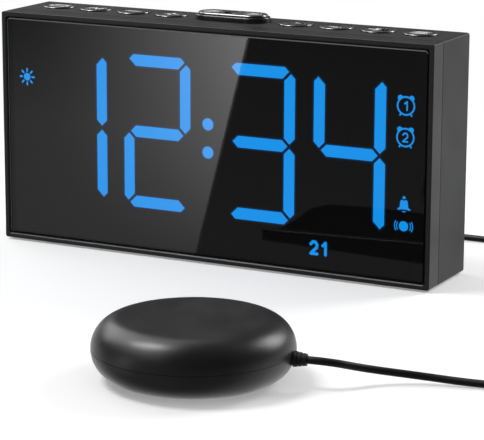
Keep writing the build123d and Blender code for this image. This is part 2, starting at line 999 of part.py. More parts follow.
def make_feet():
    feet = [foot_solid(x, y) for x, y in foot_places()]
    save("feet", feet, clock_place)


# Keys, switches and their board


def make_keys():
    for number, x in enumerate(key_places, start=1):
        cap = post(key_radius, flange_top, case_top + key_proud, x, key_row_y)
        cap = fillet(cap.faces().sort_by(Axis.Z)[-1].edges(), key_edge)
        flange = post(key_radius + key_flange, flange_bottom, flange_top, x, key_row_y)
        stem = post(key_stem_radius, plunger_top, flange_bottom, x, key_row_y)
        save(f"key_{number}", [joined([cap, flange, stem])], clock_place)
        save(f"plunger_{number}", [plunger(x)], clock_place)
    skirt = snooze_block(0, flange_top, case_top + snooze_skirt)
    skirt = fillet(skirt.faces().sort_by(Axis.Z)[-1].edges(), snooze_edge)
    top = snooze_block(-snooze_step, case_top + snooze_skirt - snooze_edge, case_top + snooze_proud)
    top = fillet(top.faces().sort_by(Axis.Z)[-1].edges(), snooze_edge)
    flange = snooze_block(key_flange, flange_bottom, flange_top)
    stem = post(key_stem_radius, plunger_top, flange_bottom, key_row_x, key_row_y)
    save("snooze_bar", [joined([skirt, top, flange, stem])], clock_place)
    save("plunger_snooze", [plunger(key_row_x)], clock_place)


def plunger(x):
    return post(plunger_radius, switch_top - plunger_sink, plunger_top, x, key_row_y)


def make_key_board():
    places = sorted(key_places + [key_row_x])
    bodies = []
    for x in places:
        half = switch_side / 2
        body = block((x - half, key_row_y - half, key_board_top), (x + half, key_row_y + half, switch_top))
        body -= post(
            plunger_radius + plunger_fit, switch_top - plunger_well, switch_top + overrun, x, key_row_y
        )
        bodies.append(body)
    save("tact_switches", bodies, clock_place)
    board = block(
        (key_row_x - key_board_half, key_board_front, key_board_bottom),
        (key_row_x + key_board_half, key_board_back, key_board_top),
    )
    holes = [
        post(board_screw_shank, key_board_bottom - overrun, key_board_top + overrun, x, y)
        for x, y in key_board_boss_places()
    ]
    save("key_board", [board - holes], clock_place)


# Main board, sockets and cables


def on_main_board(x_share, y_share):
    return main_board_left + x_share * main_board_length, main_board_front + y_share * main_board_width


def make_main_board():
    board = block(
        (main_board_left, main_board_front, main_board_bottom),
        (main_board_right, main_board_back, main_board_top),
    )
    holes = [
        post(board_screw_shank, main_board_bottom - overrun, main_board_top + overrun, x, y)
        for x, y in main_post_places()
    ]
    save("main_board", [board - holes], clock_place)

    parts = []
    for place, (size_x, size_y, size_z) in zip(chip_shares, chip_sizes):
        x, y = on_main_board(*place)
        parts.append(Pos(x, y, main_board_top + size_z / 2) * Box(size_x, size_y, size_z))
    for place in capacitor_shares:
        parts.append(
            post(capacitor_radius, main_board_top, main_board_top + capacitor_height, *on_main_board(*place))
        )
    save("board_parts", parts, clock_place)

    middle = main_board_top + dc_side / 2
    dc_body = block(
        (dc_x - dc_side / 2, socket_front, main_board_top),
        (dc_x + dc_side / 2, inner_back - slip_fit, main_board_top + dc_side),
    )
    dc_body += bar(dc_nose, inner_back - socket_body_depth / 2, case_depth - socket_recess, dc_x, middle)
    dc_floor = case_depth - socket_recess - dc_bore_depth
    dc_body -= bar(dc_bore, dc_floor, case_depth, dc_x, middle)
    dc_body += bar(dc_pin, dc_floor - overrun, case_depth - 2 * socket_recess, dc_x, middle)
    save("dc_inlet", [dc_body], clock_place)

    usb_low = (usb_x - usb_width / 2, socket_front, main_board_top)
    usb_high = (usb_x + usb_width / 2, case_depth - socket_recess, main_board_top + usb_height)
    shell = block(usb_low, usb_high)
    shell -= block(
        (usb_low[0] + usb_wall, socket_front + usb_wall, usb_low[2] + usb_wall),
        (usb_high[0] - usb_wall, case_depth, usb_high[2] - usb_wall),
    )
    tongue_top = usb_high[2] - usb_wall - usb_tongue_drop
    tongue = block(
        (usb_x - usb_tongue_width / 2, socket_front, tongue_top - usb_tongue_thickness),
        (usb_x + usb_tongue_width / 2, case_depth - socket_recess - usb_tongue_setback, tongue_top),
    )
    save("usb_port", [shell + tongue], clock_place)

    jack = block(
        (
            jack_x - jack_width / 2,
            socket_front - (plug_pin_length - socket_body_depth) - overrun,
            main_board_top,
        ),
        (jack_x + jack_width / 2, inner_back - slip_fit, main_board_top + jack_height),
    )
    jack += bar(jack_nose, inner_back - socket_body_depth / 2, case_depth - socket_recess, jack_x, jack_z)
    jack -= bar(
        plug_pin_radius + jack_fit, plug_start - plug_pin_length - slip_fit, case_depth, jack_x, jack_z
    )
    save("shaker_jack", [jack], clock_place)


def strip(points, x, width):
    """A flat cable: a thin band that follows points in Y and Z."""
    line = Polyline(*[(0, y, z) for y, z in points])
    corner = arc_share * min(edge.length for edge in line.edges())
    path = FilletPolyline(*[(0, y, z) for y, z in points], radius=corner)
    ends = Plane(origin=path @ 0, x_dir=(1, 0, 0), z_dir=path.tangent_at(0))
    section = ends * Rectangle(width, cable_thickness)
    return Pos(x, 0, 0) * sweep(section, path=path)


def make_flat_cables():
    display_cable = strip(
        [
            (display_board_back, display_cable_z),
            (display_cable_y, display_cable_z),
            (display_cable_y, main_board_top),
        ],
        main_board_left + display_cable_share * main_board_length,
        display_cable_width,
    )
    key_cable = strip(
        [
            (key_cable_y, key_board_bottom),
            (key_cable_y, key_board_bottom - key_cable_drop),
            (key_cable_y - key_cable_shift, case_middle),
            (key_cable_y - key_cable_shift, main_board_top),
        ],
        main_board_left + key_cable_share * main_board_length,
        key_cable_width,
    )
    save("flat_cables", [display_cable, key_cable], clock_place)


# Speaker, backup cell and door


def speaker_disc(radius, y):
    """A round face in front of the grille."""
    return (Plane.XZ.offset(-y) * Pos(speaker_x, speaker_z) * Circle(radius)).face()


def make_speaker():
    rim_y = inner_back - speaker_rim_depth
    reach = speaker_radius - speaker_lip
    rim = bar(speaker_radius, rim_y, inner_back, speaker_x, speaker_z)
    rim -= bar(reach, rim_y, inner_back, speaker_x, speaker_z)
    basket_y = rim_y - speaker_basket_depth
    basket = loft([speaker_disc(speaker_radius, rim_y), speaker_disc(speaker_basket_radius, basket_y)])
    hollow_back = speaker_disc(speaker_basket_radius - speaker_lip, basket_y + speaker_lip / 2)
    basket -= loft([speaker_disc(reach, rim_y), hollow_back])
    magnet = bar(speaker_magnet_radius, basket_y - speaker_magnet_depth, basket_y, speaker_x, speaker_z)
    save("speaker_frame", [joined([rim, basket, magnet])], clock_place)

    profile = [
        (dust_cap_radius, rim_y - cone_depth),
        (reach, rim_y),
        (reach, rim_y + cone_thickness),
        (dust_cap_radius, rim_y - cone_depth + cone_thickness),
    ]
    cone_line = Polyline(*[(u, v, 0) for u, v in profile], close=True)
    cone = revolve(make_face(cone_line), axis=Axis.Y)
    cap = bar(dust_cap_radius, rim_y - cone_depth, rim_y - cone_depth + cone_thickness)
    cone = Pos(speaker_x, 0, speaker_z) * joined([cone, cap])
    save("speaker_cone", [cone], clock_place)


def make_cell():
    door_back = case_depth - door_thickness
    pocket_back = door_back - cell_pocket_depth
    cell_start = pocket_back + contact_thickness + contact_bend
    cell = bar(cell_radius, cell_start, cell_start + cell_thickness, cell_x, cell_z)
    cell = fillet(cell.edges().filter_by(GeomType.CIRCLE), cell_play)
    save("coin_cell", [cell], clock_place)

    door = door_panel(0, door_back, case_depth)
    door = door.fuse(*door_tabs(0))
    door_screw_z = cell_z - door_height / 2 + door_screw_inset
    head_floor = case_depth - board_screw_head_height
    door -= bar(board_screw_shank + case_screw_play, 0, case_depth + overrun, cell_x, door_screw_z)
    door -= bar(board_screw_head + case_screw_play, head_floor, case_depth + overrun, cell_x, door_screw_z)
    save("battery_door", [door], clock_place)

    strip_half = contact_width / 2
    flat = block(
        (cell_x - contact_reach_share * cell_radius, pocket_back, cell_z - strip_half),
        (cell_x + contact_reach_share * cell_radius, pocket_back + contact_thickness, cell_z + strip_half),
    )
    bump = bar(strip_half, pocket_back + contact_thickness, cell_start, cell_x, cell_z)
    pocket_radius = cell_radius + cell_play
    side = bar(pocket_radius, pocket_back + contact_thickness, door_back - contact_thickness, cell_x, cell_z)
    side -= bar(pocket_radius - contact_thickness, 0, case_depth, cell_x, cell_z)
    side &= block(
        (cell_x - strip_half, 0, cell_z), (cell_x + strip_half, case_depth, cell_z + 2 * cell_radius)
    )
    save("cell_contacts", [joined([flat, bump]), side], clock_place)


# Shaker


def shell_profile(inset):
    """Half of the shaker's outline in X and Z, moved in from the outside."""
    low_rise = shaker_waist - shaker_lift - inset
    high_rise = shaker_height - shaker_waist - inset
    low_reach = shaker_radius - shaker_base_flat - inset
    high_reach = shaker_radius - shaker_flat - inset
    bottom = shaker_lift + inset
    top = shaker_height - inset
    centre_low = (shaker_base_flat, shaker_waist)
    centre_high = (shaker_flat, shaker_waist)
    edges = [
        Line((0, bottom), (shaker_base_flat, bottom)),
        EllipticalCenterArc(centre_low, low_reach, low_rise, start_angle=-90, arc_size=90),
        EllipticalCenterArc(centre_high, high_reach, high_rise, start_angle=0, arc_size=90),
        Line((shaker_flat, top), (0, top)),
        Line((0, top), (0, bottom)),
    ]
    return make_face(edges)


def shell_body(inset):
    return revolve(Plane.XZ * shell_profile(inset), axis=Axis.Z)


def shaker_screw_places():
    return [(side_x * shaker_screw_x, side_y * shaker_screw_y) for side_x, side_y in corners]


def relief_hole():
    """The way of the strain relief through both shells."""
    hole = axle(relief_neck + relief_fit, relief_flange_from_axis, relief_end, relief_z)
    flange = axle(
        relief_flange_radius + relief_fit,
        relief_flange_from_axis - slip_fit,
        relief_flange_from_axis + relief_flange_length + relief_fit,
        relief_z,
    )
    return Rot(Z=relief_angle) * (hole + flange)


def half_space(bottom, top):
    reach = 2 * shaker_radius
    return block((-reach, -reach, bottom), (reach, reach, top))


def make_shaker_shells():
    shell = shell_body(0) - shell_body(shaker_shell)
    outside = shell_body(0)
    low = shell & half_space(-overrun, shaker_waist - shaker_seam / 2)
    high = shell & half_space(shaker_waist + shaker_seam / 2, shaker_height + overrun)

    tongue_outer = shaker_radius - shaker_shell - slip_fit
    tongue = post(tongue_outer, shaker_waist - shaker_tongue_drop, shaker_waist + shaker_tongue_rise)
    tongue -= post(tongue_outer - shaker_tongue, 0, shaker_height)
    skirt_outer = shaker_radius - shaker_shell + slip_fit
    skirt = post(skirt_outer, shaker_waist - shaker_tongue_drop, shaker_waist - shaker_seam / 2)
    skirt -= post(tongue_outer - shaker_tongue, 0, shaker_height)
    low = low.fuse(tongue, skirt & outside)

    bosses = [post(shaker_boss_radius, pad_top, shaker_boss_meet, x, y) for x, y in shaker_screw_places()]
    cradle = block(
        (cradle_start, -cradle_half_width, shaker_floor - shaker_shell / 2),
        (cradle_start + cradle_length, cradle_half_width, cradle_height),
    )
    low = low.fuse(cradle, *bosses)
    low -= axle(
        motor_radius + cradle_fit, cradle_start - overrun, cradle_start + cradle_length + overrun, motor_axis
    )
    low -= post(pad_radius + pad_fit, -overrun, pad_top)
    for x, y in shaker_screw_places():
        low -= post(case_screw_head + case_screw_play, 0, shaker_screw_head, x, y)
        low -= post(case_screw_shank + case_screw_play, 0, shaker_boss_meet + overrun, x, y)
    pilot_floor = cradle_height - board_screw_length + clamp_thickness
    for side in (-1, 1):
        low -= post(
            board_screw_shank, pilot_floor, cradle_height + overrun, clamp_middle, side * clamp_screw_y()
        )
    low -= relief_hole()
    save("shaker_base", [low], shaker_place)

    upper = [
        post(shaker_boss_radius, shaker_boss_meet, shaker_ceiling + shaker_shell / 2, x, y)
        for x, y in shaker_screw_places()
    ]
    high = high.fuse(*upper)
    for x, y in shaker_screw_places():
        high -= post(case_screw_shank, 0, shaker_screw_head + case_screw_length + slip_fit, x, y)
    high -= relief_hole()
    save("shaker_top", [high], shaker_place)

    pad = post(pad_radius, 0, pad_top)
    save("base_pad", [pad], shaker_place)


def clamp_screw_y():
    return motor_radius + cradle_fit + clamp_thickness + clamp_foot / 2


def make_motor():
    motor_end = motor_start + motor_length
    can = axle(motor_radius, motor_start, motor_end, motor_axis)
    can = fillet(can.edges().filter_by(GeomType.CIRCLE), motor_nose_length / 2)
    nose = axle(motor_nose_radius, motor_end - overrun, motor_end + motor_nose_length, motor_axis)
    tail = axle(motor_tail_radius, motor_start - motor_tail_length, motor_start + overrun, motor_axis)
    bore = axle(
        shaft_radius + shaft_running_fit,
        motor_end - shaft_inside,
        motor_end + motor_nose_length + overrun,
        motor_axis,
    )
    save("motor", [joined([can, nose, tail]) - bore], shaker_place)

    shaft_start = motor_end - shaft_inside + shaft_running_fit
    shaft = axle(shaft_radius, shaft_start, shaft_start + shaft_length, motor_axis)
    save("motor_shaft", [shaft], shaker_place)

    disc = axle(weight_radius, weight_start, weight_start + weight_length, motor_axis)
    upper = block(
        (weight_start - overrun, -2 * weight_radius, motor_axis),
        (weight_start + weight_length + overrun, 2 * weight_radius, motor_axis + 2 * weight_radius),
    )
    hub = axle(weight_hub, weight_start, weight_start + weight_length, motor_axis)
    weight = (disc - upper).fuse(hub)
    weight -= axle(shaft_radius, weight_start - overrun, weight_start + weight_length + overrun, motor_axis)
    save("eccentric_weight", [weight], shaker_place)

    start = clamp_middle - clamp_width / 2
    end = clamp_middle + clamp_width / 2
    inner = motor_radius + cradle_fit
    hoop = axle(inner + clamp_thickness, start, end, motor_axis)
    walls = block(
        (start, -inner - clamp_thickness, cradle_height), (end, inner + clamp_thickness, motor_axis)
    )
    feet_reach = inner + clamp_thickness + clamp_foot
    feet = block((start, -feet_reach, cradle_height), (end, feet_reach, cradle_height + clamp_thickness))
    keep = half_space(cradle_height, shaker_height)
    clamp = joined([hoop, walls, feet]) & keep
    clamp -= axle(inner, start - overrun, end + overrun, motor_axis)
    clamp -= block((start - overrun, -inner, 0), (end + overrun, inner, motor_axis))
    for side in (-1, 1):
        clamp -= post(
            board_screw_shank + case_screw_play, 0, shaker_height, clamp_middle, side * clamp_screw_y()
        )
    save("motor_clamp", [clamp], shaker_place)


def make_strain_relief():
    start = shaker_radius + slip_fit
    length = relief_end - start
    flange_end = relief_flange_from_axis + relief_flange_length
    flange = axle(relief_flange_radius, relief_flange_from_axis, flange_end, relief_z)
    neck = axle(relief_neck, relief_flange_from_axis, start, relief_z)
    cone = Pos(start + length / 2, 0, relief_z) * Rot(Y=90) * Cone(relief_root, relief_tip, length)
    body = joined([flange, neck, cone])
    for step in range(1, relief_grooves + 1):
        share = step / (relief_grooves + 1)
        x = start + length * share
        bottom = relief_root - (relief_root - relief_tip) * share - relief_groove_depth
        ring = axle(relief_root + overrun, x - relief_groove_width / 2, x + relief_groove_width / 2, relief_z)
        body -= ring - axle(bottom, x - overrun, x + overrun, relief_z)
    save("strain_relief", [Rot(Z=relief_angle) * body], shaker_place)


# Screws


def make_screws():
    case_screw = screw(case_screw_shank, case_screw_length, case_screw_head, case_screw_head_height)
    seat = display_board_back + screw_floor
    screws = [
        clock_place * Pos(side_x * boss_x, seat, case_middle + side_z * boss_z) * Rot(X=90) * case_screw
        for side_x, side_z in corners
    ]
    screws += [shaker_place * Pos(x, y, shaker_screw_head) * case_screw for x, y in shaker_screw_places()]
    save("case_screws", screws, at_row)

    small = screw(board_screw_shank, board_screw_length, board_screw_head, board_screw_head_height)
    places = [clock_place * Pos(x, y, key_board_bottom) for x, y in key_board_boss_places()]
    places += [clock_place * Pos(x, y, main_board_top) * Rot(X=180) for x, y in main_post_places()]
    door_screw_z = cell_z - door_height / 2 + door_screw_inset
    places.append(clock_place * Pos(cell_x, case_depth - board_screw_head_height, door_screw_z) * Rot(X=90))
    places += [
        shaker_place * Pos(clamp_middle, side * clamp_screw_y(), cradle_height + clamp_thickness) * Rot(X=180)
        for side in (-1, 1)
    ]
    save("board_screws", [place * small for place in places], at_row)


# Cord


def corner_radii(points):
    """As large an arc at each corner as its two runs allow."""
    runs = [Vector(*after) - Vector(*before) for before, after in zip(points, points[1:])]
    rooms = [arc_share * run.length for run in runs]
    rooms[0] = end_arc_share * runs[0].length
    rooms[-1] = end_arc_share * runs[-1].length
    radii = []
    for number in range(len(runs) - 1):
        turn = math.radians(runs[number].get_angle(runs[number + 1]))
        radii.append(min(rooms[number], rooms[number + 1]) / math.tan(turn / 2))
    return radii


def tube(name, points):
    """A round cord along straight runs joined by arcs."""
    radii = corner_radii(points)
    path = FilletPolyline(*points, radius=radii)
    section = Plane(origin=points[0], z_dir=path.tangent_at(0)) * Circle(cord_diameter / 2)
    body = sweep(section, path=path)
    expected = math.pi * cord_diameter**2 / 4 * path.length
    print(name, "length %.1f" % path.length, "volume share %.4f" % (body.volume / expected))
    print(name, "radii", ["%.1f" % radius for radius in radii])
    return body


def coil_reaches():
    """The cord's distance from the middle at the end of every half turn.

    The half turn that climbs to the next layer moves half as far, and the one
    after it makes that up, so it stays clear of its neighbours.
    """
    step = coil_pitch / 2
    reaches = [coil_outer_turn]
    for layer in range(coil_layers):
        way = -1 if layer % 2 == 0 else 1
        moves = [1.0] * coil_half_turns_per_layer
        if layer > 0:
            moves[0] += climb_share
        if layer < coil_layers - 1:
            moves[-1] -= climb_share
        for move in moves:
            reaches.append(reaches[-1] + way * step * move)
    return reaches


def coil_path():
    """Half turns that wind in and out again, layer on layer, round zero.

    The coil starts and ends at its outermost turn, on its +X side.
    """
    reaches = coil_reaches()
    level = 0.0
    side = 1
    last = len(reaches) - 1
    edges = [Line((reaches[0], -cord_diameter, level), (reaches[0], 0, level))]
    for number, (reach, following) in enumerate(zip(reaches, reaches[1:]), start=1):
        climbs = number % coil_half_turns_per_layer == 0 and number != last
        centre = side * (reach - following) / 2
        radius = (reach + following) / 2
        start = (side * reach, 0, level)
        end_level = level + (coil_pitch if climbs else 0)
        end = (-side * following, 0, end_level)
        if climbs:
            rise = math.hypot(radius, coil_pitch / 2)
            middle = (centre, side * rise, level + coil_pitch / 2)
            first = TangentArc(start, middle, tangent=(0, side, 0))
            second = TangentArc(end, middle, tangent=(0, side, 0))
            edges += [first, Edge(second.wrapped.Reversed())]
        else:
            middle = (centre, side * radius, level)
            edges.append(ThreePointArc(start, middle, end))
        level = end_level
        side = -side
    end_x = reaches[-1]
    edges.append(Line((end_x, 0, level), (end_x, cord_diameter, level)))
    return Wire(edges)


def least_self_gap(path):
    """The least gap between turns, measured on points along the path."""
    spacing = cord_diameter / 2
    count = int(path.length / spacing)
    points = [path @ (step / count) for step in range(count + 1)]
    apart = int(3 * coil_pitch / spacing)
    least = min(
        (points[b] - points[a]).length for a in range(count + 1) for b in range(a + apart, count + 1)
    )
    return least - cord_diameter


coil_lift = tie_thickness + tie_clearance
coil_level = coil_lift + cord_diameter / 2
coil_top_level = coil_level + coil_pitch * (coil_layers - 1)
coil_place = clock_place * Pos(coil_x, cord_line_y - coil_outer_turn, coil_level) * Rot(Z=90)


def make_coil():
    path = coil_path()
    print("coil length %.1f" % path.length, "least self gap %.2f" % least_self_gap(path))
    section = Plane(origin=path @ 0, z_dir=path.tangent_at(0)) * Circle(cord_diameter / 2)
    body = sweep(section, path=path)
    expected = math.pi * cord_diameter**2 / 4 * path.length
    print("coil volume share %.4f" % (body.volume / expected))
    save("cord_coil", [body], coil_place)
    return path.length


def make_tie():
    inner_turn = min(coil_reaches()[1::2])
    outer_turn = max(coil_reaches()[1::2])
    width = outer_turn - inner_turn + cord_diameter + 2 * tie_clearance
    height = coil_pitch * (coil_layers - 1) + cord_diameter + 2 * tie_clearance
    middle = (outer_turn + inner_turn) / 2
    ring = RectangleRounded(width + 2 * tie_thickness, height + 2 * tie_thickness, tie_corner + tie_thickness)
    ring -= RectangleRounded(width, height, tie_corner)
    tail = Pos(width / 2 + tie_thickness + tie_tail / 2 - tie_corner, height / 2 + tie_thickness / 2)
    ring += tail * Rectangle(tie_tail, tie_thickness)
    band = extrude(Plane.XZ * ring, amount=tie_width / 2, both=True)
    level = coil_pitch * (coil_layers - 1) / 2
    save("cord_tie", [Pos(-middle, 0, level) * band], coil_place)


def make_cord():
    turn = math.radians(relief_angle)
    start = (
        shaker_x - origin_x + relief_end * math.cos(turn),
        shaker_y - origin_y + relief_end * math.sin(turn),
        relief_z,
    )
    line_y = cord_line_y - origin_y
    coil_start = (coil_x - origin_x + cord_diameter, line_y, coil_level)
    lead_y = line_y + coil_reaches()[-1] - coil_outer_turn
    coil_end = (coil_x - origin_x - cord_diameter, lead_y, coil_top_level)
    first = (
        start[0] + relief_run * math.cos(turn),
        start[1] + relief_run * math.sin(turn),
        start[2],
    )
    run = [start, first, *run_points, (coil_start[0] + relief_run, line_y, coil_level), coil_start]
    save("cord_run", [tube("run", run)], at_row)

    plug_x = jack_x - origin_x
    lead = [
        coil_end,
        (plug_x + lead_bend, lead_y, coil_top_level),
        (plug_x, lead_y - lead_bend, jack_z),
        (plug_x, plug_end - origin_y, jack_z),
    ]
    save("cord_lead", [tube("lead", lead)], at_row)


def make_plug():
    body = bar(plug_radius, plug_start, plug_tail_start, jack_x, jack_z)
    body = fillet(body.edges().filter_by(GeomType.CIRCLE), plug_edge)
    for step in range(plug_grips):
        start = plug_start + plug_length / 3 + step * plug_grip_pitch
        ring = bar(plug_radius + overrun, start, start + plug_grip_width, jack_x, jack_z)
        ring -= bar(
            plug_radius - plug_grip_depth, start - overrun, start + overrun + plug_grip_width, jack_x, jack_z
        )
        body -= ring
    tail_middle = plug_tail_start + plug_tail_length / 2
    tail = Pos(jack_x, tail_middle, jack_z) * Rot(X=-90) * Cone(
        plug_tail_radius, plug_tail_tip, plug_tail_length
    )
    pin = bar(plug_pin_radius, plug_start - plug_pin_length, plug_start + overrun, jack_x, jack_z)
    pin = chamfer(pin.edges().filter_by(GeomType.CIRCLE).sort_by(Axis.Y)[0], plug_pin_radius / 2)
    save("shaker_plug", [joined([body, tail, pin])], clock_place)


os.makedirs("parts", exist_ok=True)
make_lens()
make_display()
make_front_frame()
make_rear_housing()
make_feet()
make_keys()
make_key_board()
make_main_board()
make_flat_cables()
make_speaker()
make_cell()
make_shaker_shells()
make_motor()
make_strain_relief()
make_screws()
make_cord()
make_coil()
make_tie()
make_plug()
print("plug", jack_x - origin_x, plug_end - origin_y, jack_z)
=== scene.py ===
import json
import math

import bmesh
import bpy
from mathutils import Matrix, Vector


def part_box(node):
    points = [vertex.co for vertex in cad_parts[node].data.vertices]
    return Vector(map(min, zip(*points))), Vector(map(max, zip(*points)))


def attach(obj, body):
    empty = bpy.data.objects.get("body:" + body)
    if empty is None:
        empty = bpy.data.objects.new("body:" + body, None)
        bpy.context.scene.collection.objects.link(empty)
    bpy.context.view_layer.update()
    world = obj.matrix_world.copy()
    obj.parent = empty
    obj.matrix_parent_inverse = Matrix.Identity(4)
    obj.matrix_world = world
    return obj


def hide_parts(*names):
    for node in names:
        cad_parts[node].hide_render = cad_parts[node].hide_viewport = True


# Looks of the alarm clock with its bed shaker. Lengths are in metres and angles
# in degrees, in the part's own frame, unless a name ends in _mm.
MM = 0.001

# Camera, as fitted to the photograph's edges
camera_place = (0.391525, -0.67302, 0.21018)
camera_turn = 27.28
camera_dip = 12.97
camera_roll = 0.23
camera_lens = 169.6
camera_sensor = 36.0
camera_nearest = 0.01
camera_farthest = 100.0

# Cord, repeated from the part's own route
cord_diameter = 0.0025
cord_start = (0.09799, -0.05936, 0.0091)
cord_leaves = 11.0
relief_run = 0.007
run_points_mm = [
    (112.65, -47.6, 5.2),
    (127.15, -38.1, 2.4),
    (144.15, -34.3, 1.25),
    (168.15, -29.1, 1.25),
    (185.15, -7.1, 1.25),
    (183.15, 28.9, 1.25),
    (169.15, 70.9, 1.25),
    (148.15, 112.9, 1.25),
    (120.15, 140.9, 1.25),
    (90.15, 148.9, 1.25),
    (66.15, 147.9, 1.25),
    (44.0, 148.6, 1.35),
    (34.0, 148.3, 1.9),
]
coil_middle = (0.016285, 0.1284)
coil_outer_turn = 0.0199
coil_level = 0.00245
coil_pitch = 0.0031
half_turns_per_layer = 7
coil_layers = 4
climb_share = 0.5
points_per_half_turn = 8
lead_bend = 0.014
plug_place = (-0.0177, 0.1221, 0.0148)
cord_round_steps = 5
cord_run_steps = 6

# Colours, as linear red, green and blue
grey_case = (0.026, 0.0265, 0.028)
grey_frame = (0.02, 0.0205, 0.0215)
grey_key = (0.014, 0.0143, 0.015)
black_shaker = (0.01, 0.0098, 0.0106)
black_cord = (0.005, 0.005, 0.0055)
black_rubber = (0.008, 0.008, 0.0085)
black_mask = (0.0016, 0.0016, 0.0018)
black_lens = (0.0012, 0.0012, 0.0014)
blue_lit = (0.004, 0.325, 1.0)
blue_shine = (0.004, 0.35, 1.0)
navy_glow = (0.001, 0.022, 0.075)
navy_faint = (0.0002, 0.002, 0.006)
ink_pale = (0.8, 0.81, 0.83)
# The next colour is a painted highlight: the pale strip on the lit top and left of the lens's bevel
pale_edge_highlight = (0.11, 0.11, 0.114)

# Moulded plastic, rubber and paper: colour, roughness, size of the grain and its height
moulded_looks = {
    "frame_grey": (grey_frame, 0.36, 0.00035, 0.000012),
    "case_grey": (grey_case, 0.5, 0.00045, 0.00003),
    "key_grey": (grey_key, 0.2, 0.0004, 0.000004),
    "shaker_black": (black_shaker, 0.35, 0.0003, 0.000012),
    "cord_black": (black_cord, 0.42, 0.0006, 0.00001),
    "plug_black": (black_rubber, 0.5, 0.0004, 0.000015),
    "rubber_black": (black_rubber, 0.78, 0.0005, 0.00004),
    "mask_black": (black_mask, 0.7, 0.0006, 0.00002),
    "socket_black": ((0.012, 0.012, 0.0125), 0.4, 0.0003, 0.00001),
    "chip_black": ((0.012, 0.012, 0.013), 0.5, 0.0003, 0.00001),
    "switch_black": ((0.014, 0.014, 0.014), 0.45, 0.0004, 0.00001),
    "plunger_ivory": ((0.6, 0.56, 0.45), 0.4, 0.0004, 0.00001),
    "led_white": ((0.8, 0.78, 0.7), 0.3, 0.0003, 0.00001),
    "cable_grey": ((0.4, 0.41, 0.43), 0.5, 0.0008, 0.00002),
    "unlit_smoke": ((0.0022, 0.0024, 0.003), 0.6, 0.0006, 0.00001),
    "speaker_black": ((0.02, 0.02, 0.021), 0.4, 0.0006, 0.00002),
    "cone_paper": ((0.04, 0.04, 0.045), 0.85, 0.0008, 0.00006),
    "board_green": ((0.01, 0.09, 0.035), 0.3, 0.0015, 0.00002),
    # Painted highlight on the lens's bevel, on its top and left only
    "lens_edge_highlight": (pale_edge_highlight, 0.2, 0.0003, 0.000002),
    "sign_ink": (ink_pale, 0.5, 0.0003, 0.000004),
    "key_rim": (grey_key, 0.22, 0.0004, 0.000002),
}

# Slow changes of tone and gloss that differ from the usual ones of moulded()
other_changes = {
    "key_grey": {"patch": 0.008, "wear": 0.06},
    "shaker_black": {"patch": 0.012},
    "board_green": {"spread": 0.2},
}

# Metal: colour, roughness, size of the grain, and how much finer it is along x, y and z
metal_looks = {
    "plated_steel": ((0.6, 0.59, 0.56), 0.3, 0.0006, (1, 1, 1)),
    "motor_steel": ((0.48, 0.48, 0.47), 0.35, 0.0008, (8, 1, 1)),
}
metal_spread = 0.08
metal_smoother = 0.08
metal_rougher = 0.1
metal_grain_to_height = 20

# Milky fillings with a lamp behind them
lit_patch = 0.006
lit_spread = 0.04
lit_roughness = (0.45, 0.6)
lit_strength = 3.05

# Shader values that aren't given by the looks above
shader_values = {
    "frame_grey": {"Specular IOR Level": 0.22},
    "case_grey": {"Specular IOR Level": 0.26},
    "shaker_black": {"Sheen Weight": 0.04, "Sheen Roughness": 0.5},
    "key_rim": {"IOR": 2.0, "Specular IOR Level": 1.0},
    "smoked_lens": {"Alpha": 0.5, "Roughness": 0.012, "Specular IOR Level": 1.0},
    "glow": {"Emission Strength": 1.0, "Roughness": 0.7},
}

# Noise in a material: the part of its range in which it changes something, and
# how many finer layers the slow and the fine noise have
noise_low = 0.3
noise_high = 0.7
slow_detail = 3.0
fine_detail = 2.0

# Glow round the lit bars and signs. The nodes are those that shine, the signs last
lit_nodes = ("digit_1", "digit_2", "digit_3", "digit_4", "colon_dots", "status_signs")
glow_reach = 0.0008
sign_glow_reach = glow_reach / 2
glow_share = 4
glow_gap = 0.00004
glow_sharpest = 0.5
same_point = 1e-7
same_level = 1e-6

# Painted highlight: a pale strip on the lens's bevelled edge, along its top and left only, where the light
# catches it
edge_inset = 0.0001
edge_width = 0.0004
edge_gap = 0.00003
edge_corner = 0.0012
edge_steps = 6

# Polished rounding of the keys' tops
cap_radius = 0.00635
cap_edge = 0.00035
snooze_end = 0.0055
snooze_half_length = 0.00862
snooze_edge = 0.0006
rim_gap = 0.00006
rim_steps = 72
rim_levels = 6

